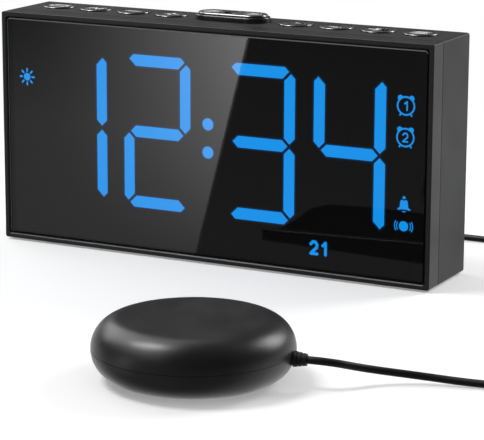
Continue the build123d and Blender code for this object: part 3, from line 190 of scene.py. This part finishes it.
# Signs printed on the keys: strokes in millimetres from the middle of each key's
# top, and rings as radius and start and end of the turn
ink_lift = 0.00002
ink_width = 0.0011
sign_scale = 1.3
ring_steps = 28
dot_steps = 12
key_signs = {
    "key_1": {
        "lines": [[(-2.8, -1.3), (2.8, -1.3), (2.8, 1.3), (-2.8, 1.3), (-2.8, -1.3)]],
        "rings": [],
    },
    "key_2": {
        "lines": [[(-2.4, -1.2), (-0.8, 1.2), (0.8, -1.2), (2.4, 1.2)]],
        "rings": [],
    },
    "key_3": {
        "lines": [[(-2.2, 0), (2.2, 0)]],
        "rings": [],
    },
    "key_4": {
        "lines": [[(-2.0, 0), (2.0, 0)], [(0, -2.0), (0, 2.0)]],
        "rings": [],
    },
    "key_5": {
        "lines": [[(0, 1.3), (0, 0), (1.1, 0)]],
        "rings": [(2.2, 0, 360)],
    },
    "key_6": {
        "lines": [[(-1.5, -1.2), (1.5, -1.2)], [(-0.5, -1.9), (0.5, -1.9)]],
        "rings": [(1.5, 0, 180)],
    },
    "key_7": {
        "lines": [
            [(-2.6, -0.7), (-1.6, -0.7), (-0.3, -1.8), (-0.3, 1.8), (-1.6, 0.7), (-2.6, 0.7), (-2.6, -0.7)],
        ],
        "rings": [(1.5, -45, 45), (2.6, -45, 45)],
    },
    "key_8": {
        "lines": [[(-2.3, -1.5), (2.3, -1.5)], [(-2.3, 0), (2.3, 0)], [(-2.3, 1.5), (2.3, 1.5)]],
        "rings": [],
    },
    "snooze_bar": {
        "lines": [
            [(-9.5, -1.0), (-4.5, -1.0)],
            [(-8.5, 1.0), (-4.5, 1.0)],
            [(4.5, -1.0), (9.5, -1.0)],
            [(4.5, 1.0), (8.5, 1.0)],
        ],
        "rings": [(2.3, 60, 300), (1.5, 75, 285)],
    },
}

# Floor, which turns to white between its near and far distance from the middle
floor_size = 6.0
floor_drop = 0.00002
floor_colour = (0.82, 0.82, 0.82)
floor_near = 0.1
floor_far = 0.4
floor_lift = 0.26

# Lamps, each a rectangle that faces its target
lamps = {
    "lamp_right": {"place": (0.7, 1.05, 0.75), "target": (0, 0.05, 0.04), "size": (0.6, 0.6), "power": 10},
    "lamp_top": {"place": (-0.55, -0.25, 1.15), "target": (0, 0, 0.04), "size": (0.42, 0.42), "power": 8},
    "lamp_left": {"place": (-0.9, 0.4, 0.6), "target": (0, -0.05, 0.03), "size": (0.8, 0.4), "power": 3},
}

# The room's light, and what glossy surfaces mirror of it: a pale room behind and
# below, and a softbox above. Each range gives two places along x, y or z of the
# direction, and the values there
room_light = 0.4
behind_along_y = (-0.2, 0.6, 0.1, 1.0)
below_along_z = (-0.05, 0.15, 1.0, 0.1)
softbox_along_x = (-0.02, -0.45, 0.0, 1.0)
softbox_along_y = (0.7, 0.35, 0.0, 1.0)
softbox_along_z = (0.4, 0.8, 0.0, 2.2)

# Cards that the lens mirrors: a bright one and a dark one that meet at a slanted
# edge, and a dark mound with a thin line before them. Ranges as above
card_y = -0.2996
card_edge = [(-0.1747, 0.0265), (-0.2072, -0.0985)]
card_left = -0.6
card_right = 0.1
card_low = -0.25
card_high = 0.12
bright_along_x = (-0.335, -0.175, 0.0, 1.0)
bright_along_z = (-0.1, 0.027, 0.05, 1.0)
bright_base_along_z = (-0.03, 0.03, 0.5, 0.22)
bright_power = 2.0
bright_most = 2.65
dark_along_z = (-0.09, 0.03, 0.18, 0.12)
mound_y = -0.2956
mound_shade = 0.04
mound = [
    (-0.163, -0.0785),
    (-0.152, -0.077),
    (-0.1425, -0.071),
    (-0.1335, -0.0637),
    (-0.1227, -0.0603),
    (-0.0995, -0.0592),
    (-0.064, -0.0594),
    (-0.064, -0.0873),
    (-0.163, -0.0847),
]
line_y = -0.2946
line_shade = 0.5
line = [(-0.16, -0.078), (-0.0646, -0.0754), (-0.0646, -0.0758), (-0.16, -0.0784)]


# Steps of a node tree


def new_material(name):
    material = bpy.data.materials.new(name)
    material.use_nodes = True
    nodes = material.node_tree.nodes
    nodes.clear()
    shader = nodes.new("ShaderNodeBsdfPrincipled")
    output = nodes.new("ShaderNodeOutputMaterial")
    material.node_tree.links.new(shader.outputs[0], output.inputs[0])
    return material, shader


def coordinates(nodes, links, kind):
    """The x, y and z of one kind of texture coordinate."""
    place = nodes.new("ShaderNodeTexCoord")
    parts = nodes.new("ShaderNodeSeparateXYZ")
    links.new(place.outputs[kind], parts.inputs[0])
    return parts.outputs


def ranged(nodes, links, value, start, end, low, high):
    """From low at start to high at end: eased where the range runs backwards, else straight."""
    spread = nodes.new("ShaderNodeMapRange")
    spread.interpolation_type = "SMOOTHERSTEP" if start > end else "LINEAR"
    spread.inputs["From Min"].default_value = start
    spread.inputs["From Max"].default_value = end
    spread.inputs["To Min"].default_value = low
    spread.inputs["To Max"].default_value = high
    links.new(value, spread.inputs["Value"])
    return spread.outputs["Result"]


def computed(nodes, links, operation, first, second):
    """One calculation with two values, each a number or an output."""
    step = nodes.new("ShaderNodeMath")
    step.operation = operation
    for socket, value in zip(step.inputs, (first, second)):
        if isinstance(value, float):
            socket.default_value = value
        else:
            links.new(value, socket)
    return step.outputs[0]


# Materials


def add_noise(material, size, detail, stretch=(1, 1, 1)):
    """Noise with grains of about that size, held to the object."""
    nodes = material.node_tree.nodes
    links = material.node_tree.links
    place = nodes.new("ShaderNodeTexCoord")
    scale = nodes.new("ShaderNodeMapping")
    scale.inputs["Scale"].default_value = stretch
    noise = nodes.new("ShaderNodeTexNoise")
    noise.inputs["Scale"].default_value = 1 / size
    noise.inputs["Detail"].default_value = detail
    links.new(place.outputs["Object"], scale.inputs["Vector"])
    links.new(scale.outputs["Vector"], noise.inputs["Vector"])
    return noise.outputs["Fac"]


def vary_roughness(material, shader, noise, low, high):
    tree = material.node_tree
    roughness = ranged(tree.nodes, tree.links, noise, noise_low, noise_high, low, high)
    tree.links.new(roughness, shader.inputs["Roughness"])


def vary_colour(material, shader, noise, colour, spread):
    """The colour a little darker and lighter with the noise."""
    tree = material.node_tree
    ramp = tree.nodes.new("ShaderNodeValToRGB")
    darker, lighter = ramp.color_ramp.elements
    darker.position = noise_low
    lighter.position = noise_high
    darker.color = (*[value * (1 - spread) for value in colour], 1)
    lighter.color = (*[value * (1 + spread) for value in colour], 1)
    tree.links.new(noise, ramp.inputs["Fac"])
    tree.links.new(ramp.outputs["Color"], shader.inputs["Base Color"])


def add_bump(material, shader, noise, height):
    tree = material.node_tree
    bump = tree.nodes.new("ShaderNodeBump")
    bump.inputs["Distance"].default_value = height
    bump.inputs["Strength"].default_value = 1.0
    tree.links.new(noise, bump.inputs["Height"])
    tree.links.new(bump.outputs["Normal"], shader.inputs["Normal"])


def moulded(name, colour, roughness, grain, height, spread=0.06, patch=0.03, wear=0.05):
    """A moulded surface: a fine grain, with slow changes of gloss and tone in patches."""
    material, shader = new_material(name)
    slow = add_noise(material, patch, slow_detail)
    vary_colour(material, shader, slow, colour, spread)
    vary_roughness(material, shader, slow, roughness - wear, roughness + wear)
    add_bump(material, shader, add_noise(material, grain, fine_detail), height)
    return material, shader


def metal(name, colour, roughness, grain, stretch):
    material, shader = new_material(name)
    noise = add_noise(material, grain, slow_detail, stretch)
    vary_colour(material, shader, noise, colour, metal_spread)
    vary_roughness(material, shader, noise, roughness - metal_smoother, roughness + metal_rougher)
    add_bump(material, shader, noise, grain / metal_grain_to_height)
    shader.inputs["Metallic"].default_value = 1.0
    return material, shader


def lit(name, colour, shine):
    """A milky filling with a lamp behind it."""
    material, shader = new_material(name)
    noise = add_noise(material, lit_patch, fine_detail)
    vary_colour(material, shader, noise, colour, lit_spread)
    vary_roughness(material, shader, noise, *lit_roughness)
    shader.inputs["Emission Color"].default_value = (*shine, 1)
    shader.inputs["Emission Strength"].default_value = lit_strength
    return material, shader


def glowing(name):
    """The mask's black, lit where its mesh's own glow value says so."""
    material, shader = new_material(name)
    tree = material.node_tree
    near = tree.nodes.new("ShaderNodeAttribute")
    near.attribute_name = "glow"
    ramp = tree.nodes.new("ShaderNodeValToRGB")
    faint, bright = ramp.color_ramp.elements
    faint.color = (*navy_faint, 1)
    bright.color = (*[value * glow_share for value in navy_glow], 1)
    tree.links.new(near.outputs["Fac"], ramp.inputs["Fac"])
    tree.links.new(ramp.outputs["Color"], shader.inputs["Emission Color"])
    shader.inputs["Base Color"].default_value = (*black_mask, 1)
    return material, shader


def make_materials():
    made = {}
    for name, look in moulded_looks.items():
        made[name] = moulded(name, *look, **other_changes.get(name, {}))
    for name, look in metal_looks.items():
        made[name] = metal(name, *look)
    made["lit_blue"] = lit("lit_blue", blue_lit, blue_shine)
    made["glow"] = glowing("glow")
    made["smoked_lens"] = new_material("smoked_lens")
    made["smoked_lens"][1].inputs["Base Color"].default_value = (*black_lens, 1)
    for name, values in shader_values.items():
        for socket, value in values.items():
            made[name][1].inputs[socket].default_value = value
    return {name: material for name, (material, _) in made.items()}


def dress_nodes():
    slots = {entry["node"]: entry["material_slot"] for entry in frame["record"]["subparts"]}
    for node, piece in frame["nodes"].items():
        piece.data.materials.clear()
        piece.data.materials.append(materials[slots[node]])


# Cord


def coil_reaches():
    """The cord's distance from the coil's middle at the end of every half turn."""
    step = coil_pitch / 2
    reaches = [coil_outer_turn]
    for layer in range(coil_layers):
        way = -1 if layer % 2 == 0 else 1
        moves = [1.0] * half_turns_per_layer
        if layer > 0:
            moves[0] += climb_share
        if layer < coil_layers - 1:
            moves[-1] -= climb_share
        for move in moves:
            reaches.append(reaches[-1] + way * step * move)
    return reaches


def coil_points():
    """Control points of the coil. The spline draws in from them, so they stand out by as much."""
    step = math.pi / points_per_half_turn
    draw_in = (3 + math.cos(step)) / 4
    reaches = coil_reaches()
    level = coil_level
    side = 1
    points = []
    for number, (reach, following) in enumerate(zip(reaches, reaches[1:]), start=1):
        climbs = number % half_turns_per_layer == 0 and number < len(reaches) - 1
        for place in range(points_per_half_turn):
            turn = (place + 0.5) * step
            mixed = (1 - math.cos(turn)) / 2
            radius = (reach + (following - reach) * mixed) / draw_in
            height = level + (coil_pitch * mixed if climbs else 0)
            ahead = side * radius * math.cos(turn)
            across = side * radius * math.sin(turn)
            points.append((coil_middle[0] - across, coil_middle[1] + ahead, height))
        if climbs:
            level += coil_pitch
        side = -side
    return points


def cord_route():
    """Control points from the shaker round to the coil, through it, and on to the plug."""
    leave = math.radians(cord_leaves)
    first = (
        cord_start[0] + relief_run * math.cos(leave),
        cord_start[1] + relief_run * math.sin(leave),
        cord_start[2],
    )
    coil_y = coil_middle[1] + coil_outer_turn
    coil_in = (coil_middle[0] + cord_diameter + relief_run, coil_y, coil_level)
    coil_start = (coil_middle[0] + cord_diameter, coil_y, coil_level)
    top = coil_level + coil_pitch * (coil_layers - 1)
    lead_y = coil_middle[1] + coil_reaches()[-1]
    route = [cord_start, first]
    route += [tuple(value * MM for value in point) for point in run_points_mm]
    route += [coil_in, coil_start]
    route += coil_points()
    route += [
        (coil_middle[0] - cord_diameter, lead_y, top),
        (plug_place[0] + lead_bend, lead_y, top),
        (plug_place[0], lead_y - lead_bend, plug_place[2]),
        plug_place,
    ]
    return route


def make_cord():
    route = cord_route()
    curve = bpy.data.curves.new("cord", "CURVE")
    curve.dimensions = "3D"
    curve.bevel_depth = cord_diameter / 2
    curve.bevel_resolution = cord_round_steps
    curve.resolution_u = cord_run_steps
    curve.use_fill_caps = True
    spline = curve.splines.new("NURBS")
    spline.points.add(len(route) - 1)
    for point, place in zip(spline.points, route):
        point.co = (*place, 1)
    spline.order_u = 3
    spline.use_endpoint_u = True
    curve.materials.append(materials["cord_black"])
    cord = bpy.data.objects.new("cord", curve)
    bpy.context.scene.collection.objects.link(cord)
    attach(cord, "clock")
    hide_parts("cord_run", "cord_coil", "cord_lead")


# Small pieces


def new_piece(name, mesh, material, body):
    mesh.materials.append(materials[material])
    piece = bpy.data.objects.new(name, mesh)
    bpy.context.scene.collection.objects.link(piece)
    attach(piece, body)
    return piece


def front_outline(source):
    """The outer edges of a mesh's frontmost faces, and the ways out at each of their points."""
    front = min(vertex.co.y for vertex in source.verts)
    flat = [face for face in source.faces if all(abs(v.co.y - front) < same_level for v in face.verts)]
    chosen = set(flat)
    edges = []
    ways_out = {}
    for face in flat:
        middle = face.calc_center_median()
        for edge in face.edges:
            if sum(1 for other in edge.link_faces if other in chosen) != 1:
                continue
            first, second = edge.verts
            along = (second.co - first.co).normalized()
            outward = Vector((along.z, 0, -along.x))
            if outward.dot(middle - first.co) > 0:
                outward.negate()
            edges.append((first, second))
            for vertex in (first, second):
                ways_out.setdefault(vertex, []).append(outward)
    return edges, ways_out


def glow_round(node, reach):
    """A thin rim of light on the mask, round each lit filling of a node."""
    source = bmesh.new()
    source.from_mesh(frame["nodes"][node].data)
    bmesh.ops.remove_doubles(source, verts=source.verts, dist=same_point)
    edges, ways_out = front_outline(source)
    lift = Vector((0, -glow_gap, 0))
    points = []
    glow = []
    index = {}
    for vertex, sides in ways_out.items():
        total = sum(sides, Vector((0, 0, 0)))
        share = 1 + (sides[0].dot(sides[1]) if len(sides) == 2 else 1)
        index[vertex] = len(points)
        points += [vertex.co + lift, vertex.co + lift + total / max(share, glow_sharpest) * reach]
        glow += [1.0, 0.0]
    faces = []
    for first, second in edges:
        a, b = index[first], index[second]
        corners = [points[a], points[b], points[b + 1]]
        normal = (corners[1] - corners[0]).cross(corners[2] - corners[0])
        order = (a, b, b + 1, a + 1) if normal.y < 0 else (a + 1, b + 1, b, a)
        faces.append(order)
    source.free()
    mesh = bpy.data.meshes.new(node + "_glow")
    mesh.from_pydata([tuple(point) for point in points], [], faces)
    attribute = mesh.attributes.new("glow", "FLOAT", "POINT")
    attribute.data.foreach_set("value", glow)
    piece = new_piece(node + "_glow", mesh, "glow", "clock")
    piece.visible_glossy = False


def lens_edge_highlight():
    """A pale strip on the lens's bevelled edge, along its top and left only: a painted highlight where the
    bevel catches the light.
    """
    low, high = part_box("lens")
    points = []
    for inset, lift in ((edge_inset, 0), (edge_inset + edge_width, edge_width / 2)):
        radius = edge_corner - inset
        y = low.y - edge_gap - lift
        for number, (side_x, side_z) in enumerate([(1, 1), (-1, 1), (-1, -1)]):
            x = (high.x if side_x > 0 else low.x) - side_x * (inset + radius)
            z = (high.z if side_z > 0 else low.z) - side_z * (inset + radius)
            for step in range(edge_steps + 1):
                turn = math.pi / 2 * (number + step / edge_steps)
                points.append((x + radius * math.cos(turn), y, z + radius * math.sin(turn)))
    count = len(points) // 2
    faces = []
    for number in range(count - 1):
        faces.append((number, number + count, number + count + 1, number + 1))
    mesh = bpy.data.meshes.new("lens_edge_highlight")
    mesh.from_pydata(points, [], faces)
    new_piece("lens_edge_highlight", mesh, "lens_edge_highlight", "clock")


def rim_ring(key, radius, half_length, edge):
    """The polished rounding round a key's top, which catches the light."""
    low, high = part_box(key)
    middle = (low + high) / 2
    turned = [2 * math.pi * step / rim_steps for step in range(rim_steps)]
    points = []
    for level in range(rim_levels + 1):
        slope = math.pi / 2 * level / rim_levels
        reach = radius - edge + (edge + rim_gap) * math.cos(slope)
        height = high.z - edge + (edge + rim_gap) * math.sin(slope)
        for turn in turned:
            shift = math.copysign(half_length, math.cos(turn)) if half_length else 0
            x = middle.x + shift + reach * math.cos(turn)
            y = middle.y + reach * math.sin(turn)
            points.append((x, y, height))
    faces = []
    for level in range(rim_levels):
        for step in range(rim_steps):
            a = level * rim_steps + step
            b = level * rim_steps + (step + 1) % rim_steps
            faces.append((a, b, b + rim_steps, a + rim_steps))
    mesh = bpy.data.meshes.new(key + "_rim")
    mesh.from_pydata(points, [], faces)
    mesh.shade_smooth()
    new_piece(key + "_rim", mesh, "key_rim", key + "_body")


def print_sign(key, sign):
    """Thin pale ink on the middle of a key's top."""
    low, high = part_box(key)
    middle = (low + high) / 2
    top = high.z + ink_lift
    half = ink_width / 2
    points = []
    faces = []

    def add_face(corners):
        start = len(points)
        points.extend(corners)
        faces.append(tuple(range(start, len(points))))

    def run(path):
        for x, y in path:
            turns = [2 * math.pi * step / dot_steps for step in range(dot_steps)]
            add_face([(x + half * math.cos(turn), y + half * math.sin(turn), top) for turn in turns])
        for (ax, ay), (bx, by) in zip(path, path[1:]):
            along = Vector((bx - ax, by - ay)).normalized() * half
            add_face([
                (ax + along.y, ay - along.x, top),
                (bx + along.y, by - along.x, top),
                (bx - along.y, by + along.x, top),
                (ax - along.y, ay + along.x, top),
            ])

    for path in sign["lines"]:
        run([(middle.x + x * MM * sign_scale, middle.y + y * MM * sign_scale) for x, y in path])
    for radius, start, end in sign["rings"]:
        turns = [math.radians(start + (end - start) * step / ring_steps) for step in range(ring_steps + 1)]
        reach = radius * MM * sign_scale
        run([(middle.x + reach * math.cos(turn), middle.y + reach * math.sin(turn)) for turn in turns])
    mesh = bpy.data.meshes.new(key + "_sign")
    mesh.from_pydata(points, [], faces)
    new_piece(key + "_sign", mesh, "sign_ink", key + "_body")


# Camera and stage


def make_camera():
    camera = bpy.data.cameras.new("camera")
    camera.lens = camera_lens
    camera.sensor_width = camera_sensor
    camera.clip_start = camera_nearest
    camera.clip_end = camera_farthest
    holder = bpy.data.objects.new("camera", camera)
    turn = Matrix.Rotation(math.radians(camera_turn), 4, "Z")
    dip = Matrix.Rotation(math.radians(90 - camera_dip), 4, "X")
    roll = Matrix.Rotation(math.radians(camera_roll), 4, "Z")
    holder.matrix_world = Matrix.Translation(camera_place) @ turn @ dip @ roll
    bpy.context.scene.collection.objects.link(holder)
    bpy.context.scene.camera = holder


def make_lamp(name, place, target, size, power):
    lamp = bpy.data.lights.new(name, "AREA")
    lamp.shape = "RECTANGLE"
    lamp.size, lamp.size_y = size
    lamp.energy = power
    holder = bpy.data.objects.new(name, lamp)
    holder.location = place
    holder.rotation_euler = (Vector(target) - Vector(place)).to_track_quat("-Z", "Y").to_euler()
    bpy.context.scene.collection.objects.link(holder)


def make_world():
    """White for the camera, plain soft light, and a room with a softbox for glossy surfaces."""
    world = bpy.data.worlds.new("room")
    world.use_nodes = True
    nodes = world.node_tree.nodes
    links = world.node_tree.links
    nodes.clear()
    paths = nodes.new("ShaderNodeLightPath")
    parts = coordinates(nodes, links, "Generated")
    behind = ranged(nodes, links, parts["Y"], *behind_along_y)
    below = ranged(nodes, links, parts["Z"], *below_along_z)
    behind_below = computed(nodes, links, "MULTIPLY", behind, below)
    above = ranged(nodes, links, parts["Z"], *softbox_along_z)
    left = ranged(nodes, links, parts["X"], *softbox_along_x)
    front = ranged(nodes, links, parts["Y"], *softbox_along_y)
    above_left = computed(nodes, links, "MULTIPLY", above, left)
    softbox = computed(nodes, links, "MULTIPLY", above_left, front)
    mirrored = computed(nodes, links, "MAXIMUM", behind_below, softbox)
    glossy = computed(nodes, links, "MULTIPLY", mirrored, paths.outputs["Is Glossy Ray"])
    not_glossy = computed(nodes, links, "SUBTRACT", 1.0, paths.outputs["Is Glossy Ray"])
    soft = computed(nodes, links, "MULTIPLY", not_glossy, room_light)
    unseen = computed(nodes, links, "ADD", glossy, soft)
    strength = computed(nodes, links, "MAXIMUM", unseen, paths.outputs["Is Camera Ray"])
    room = nodes.new("ShaderNodeBackground")
    room.inputs["Color"].default_value = (1, 1, 1, 1)
    output = nodes.new("ShaderNodeOutputWorld")
    links.new(strength, room.inputs["Strength"])
    links.new(room.outputs[0], output.inputs[0])
    bpy.context.scene.world = world


def floor_material():
    """Pale and matte, lifted a little for the camera, and white for it further out."""
    material = bpy.data.materials.new("floor_pale")
    material.use_nodes = True
    nodes = material.node_tree.nodes
    links = material.node_tree.links
    nodes.clear()
    matte = nodes.new("ShaderNodeBsdfDiffuse")
    matte.inputs["Color"].default_value = (*floor_colour, 1)
    seen = nodes.new("ShaderNodeLightPath").outputs["Is Camera Ray"]
    lift = nodes.new("ShaderNodeEmission")
    links.new(computed(nodes, links, "MULTIPLY", seen, floor_lift), lift.inputs["Strength"])
    near = nodes.new("ShaderNodeAddShader")
    links.new(matte.outputs[0], near.inputs[0])
    links.new(lift.outputs[0], near.inputs[1])
    white = nodes.new("ShaderNodeEmission")
    links.new(seen, white.inputs["Strength"])
    place = nodes.new("ShaderNodeTexCoord")
    length = nodes.new("ShaderNodeVectorMath")
    length.operation = "LENGTH"
    links.new(place.outputs["Object"], length.inputs[0])
    away = ranged(nodes, links, length.outputs["Value"], floor_near, floor_far, 0.0, 1.0)
    mixed = nodes.new("ShaderNodeMixShader")
    links.new(computed(nodes, links, "MULTIPLY", seen, away), mixed.inputs["Fac"])
    links.new(near.outputs[0], mixed.inputs[1])
    links.new(white.outputs[0], mixed.inputs[2])
    output = nodes.new("ShaderNodeOutputMaterial")
    links.new(mixed.outputs[0], output.inputs[0])
    return material


def make_floor():
    mesh = bpy.data.meshes.new("floor")
    half = floor_size / 2
    corners = [(-half, -half), (half, -half), (half, half), (-half, half)]
    mesh.from_pydata([(x, y, -floor_drop) for x, y in corners], [], [(0, 1, 2, 3)])
    mesh.materials.append(floor_material())
    floor = bpy.data.objects.new("floor", mesh)
    bpy.context.scene.collection.objects.link(floor)
    floor.visible_glossy = False


def bright_shade(nodes, links):
    """Brighter to the right and up, as the photograph's lens shows."""
    parts = coordinates(nodes, links, "Object")
    across = ranged(nodes, links, parts["X"], *bright_along_x)
    rise = ranged(nodes, links, parts["Z"], *bright_along_z)
    base = ranged(nodes, links, parts["Z"], *bright_base_along_z)
    steeper = computed(nodes, links, "POWER", across, bright_power)
    strong = computed(nodes, links, "MULTIPLY", steeper, rise)
    strongest = computed(nodes, links, "MULTIPLY", strong, bright_most)
    return computed(nodes, links, "ADD", strongest, base)


def dark_shade(nodes, links):
    parts = coordinates(nodes, links, "Object")
    return ranged(nodes, links, parts["Z"], *dark_along_z)


def make_card(name, corners, shade, y=card_y):
    """A card before the lens that only glossy rays see. Its shade is a number or a function."""
    material = bpy.data.materials.new(name)
    material.use_nodes = True
    nodes = material.node_tree.nodes
    links = material.node_tree.links
    nodes.clear()
    glow = nodes.new("ShaderNodeEmission")
    if isinstance(shade, float):
        glow.inputs["Strength"].default_value = shade
    else:
        links.new(shade(nodes, links), glow.inputs["Strength"])
    output = nodes.new("ShaderNodeOutputMaterial")
    links.new(glow.outputs[0], output.inputs[0])
    mesh = bpy.data.meshes.new(name)
    mesh.from_pydata([(x, y, z) for x, z in corners], [], [tuple(range(len(corners)))])
    mesh.materials.append(material)
    card = bpy.data.objects.new(name, mesh)
    bpy.context.scene.collection.objects.link(card)
    card.visible_camera = False
    card.visible_diffuse = False
    card.visible_shadow = False
    card.visible_transmission = False


def make_cards():
    (top_x, top_z), (low_x, low_z) = card_edge
    lean = (top_x - low_x) / (top_z - low_z)
    edge_high = (top_x + lean * (card_high - top_z), card_high)
    edge_low = (low_x + lean * (card_low - low_z), card_low)
    bright = [(card_left, card_low), edge_low, edge_high, (card_left, card_high)]
    dark = [edge_low, (card_right, card_low), (card_right, card_high), edge_high]
    make_card("card_bright", bright, bright_shade)
    make_card("card_dark", dark, dark_shade)
    make_card("card_mound", mound, mound_shade, mound_y)
    make_card("card_line", line, line_shade, line_y)


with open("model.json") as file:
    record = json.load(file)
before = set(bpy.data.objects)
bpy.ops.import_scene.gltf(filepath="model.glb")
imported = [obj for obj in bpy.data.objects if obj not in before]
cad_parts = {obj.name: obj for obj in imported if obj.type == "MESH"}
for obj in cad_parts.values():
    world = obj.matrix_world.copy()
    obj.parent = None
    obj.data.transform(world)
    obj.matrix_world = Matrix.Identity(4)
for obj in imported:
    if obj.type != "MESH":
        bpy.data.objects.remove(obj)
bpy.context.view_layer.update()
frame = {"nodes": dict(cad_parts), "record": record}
make_camera()
materials = make_materials()
dress_nodes()
make_cord()
for node in lit_nodes:
    glow_round(node, sign_glow_reach if node == "status_signs" else glow_reach)
    frame["nodes"][node].visible_glossy = False
lens_edge_highlight()
for key, sign in key_signs.items():
    print_sign(key, sign)
    if key == "snooze_bar":
        rim_ring(key, snooze_end, snooze_half_length, snooze_edge)
    else:
        rim_ring(key, cap_radius, 0, cap_edge)
make_floor()
make_world()
make_cards()
for name, lamp in lamps.items():
    make_lamp(name, **lamp)
bpy.context.scene.view_settings.view_transform = "Standard"
